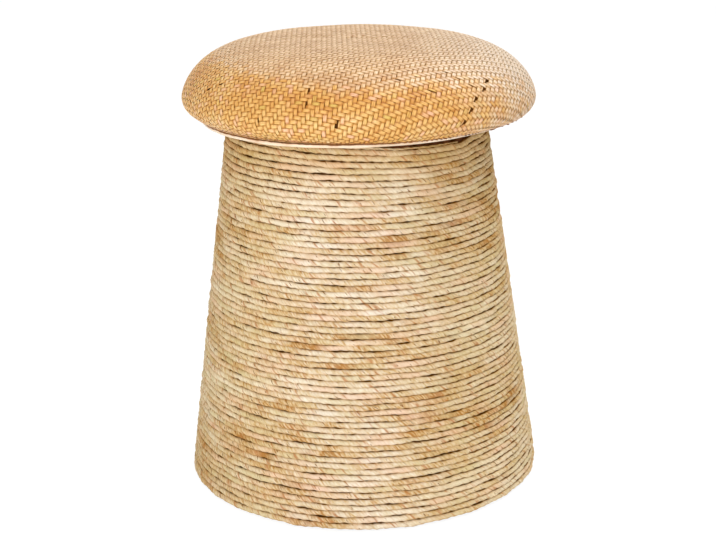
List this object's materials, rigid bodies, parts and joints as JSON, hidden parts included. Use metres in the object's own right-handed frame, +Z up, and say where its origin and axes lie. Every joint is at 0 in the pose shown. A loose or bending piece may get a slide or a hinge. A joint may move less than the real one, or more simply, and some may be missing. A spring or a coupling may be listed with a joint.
{
  "type": "mudda stool",
  "caption": "Tapering round stool: a cane and plywood drum wound with natural-fibre rope, under a domed foam seat covered in twill-woven split cane; open underneath.",
  "frame": {"origin": "on the floor, on the stool's own upright axis, level with the undersides of the glides", "axes": "+Z up along the stool's axis; the stool is round, so +X and +Y point to two neighbouring glides"},
  "size_m": [0.3656, 0.3624, 0.45],
  "materials": {
    "rope_fibre": "matte twisted plant fibre",
    "split_cane": "satin woven strips",
    "peeled_reed": "matte peeled reed",
    "round_cane": "satin natural cane",
    "plywood": "raw sanded plywood",
    "seat_foam": "matte foam",
    "zinc_steel": "zinc plated",
    "glide_nylon": "matte nylon"
  },
  "bodies": {
    "root": {"foot_ring": "plywood", "neck_ring": "plywood", "lower_hoop": "round_cane", "upper_hoop": "round_cane", "pole_1": "round_cane", "pole_2": "round_cane", "pole_3": "round_cane", "pole_4": "round_cane", "pole_5": "round_cane", "pole_6": "round_cane", "pole_7": "round_cane", "pole_8": "round_cane", "pole_foot_screw_1": "zinc_steel", "pole_foot_screw_2": "zinc_steel", "pole_foot_screw_3": "zinc_steel", "pole_foot_screw_4": "zinc_steel", "pole_foot_screw_5": "zinc_steel", "pole_foot_screw_6": "zinc_steel", "pole_foot_screw_7": "zinc_steel", "pole_foot_screw_8": "zinc_steel", "pole_head_screw_1": "zinc_steel", "pole_head_screw_2": "zinc_steel", "pole_head_screw_3": "zinc_steel", "pole_head_screw_4": "zinc_steel", "pole_head_screw_5": "zinc_steel", "pole_head_screw_6": "zinc_steel", "pole_head_screw_7": "zinc_steel", "pole_head_screw_8": "zinc_steel", "glide_1": "glide_nylon", "glide_2": "glide_nylon", "glide_3": "glide_nylon", "glide_4": "glide_nylon", "drum_skin": "plywood", "rope_winding": "rope_fibre", "seat_board": "plywood", "seat_screw_1": "zinc_steel", "seat_screw_2": "zinc_steel", "seat_screw_3": "zinc_steel", "seat_screw_4": "zinc_steel", "seat_screw_5": "zinc_steel", "seat_screw_6": "zinc_steel", "edge_reed": "peeled_reed", "seat_foam": "seat_foam", "woven_cover": "split_cane"}
  },
  "joints": []
}
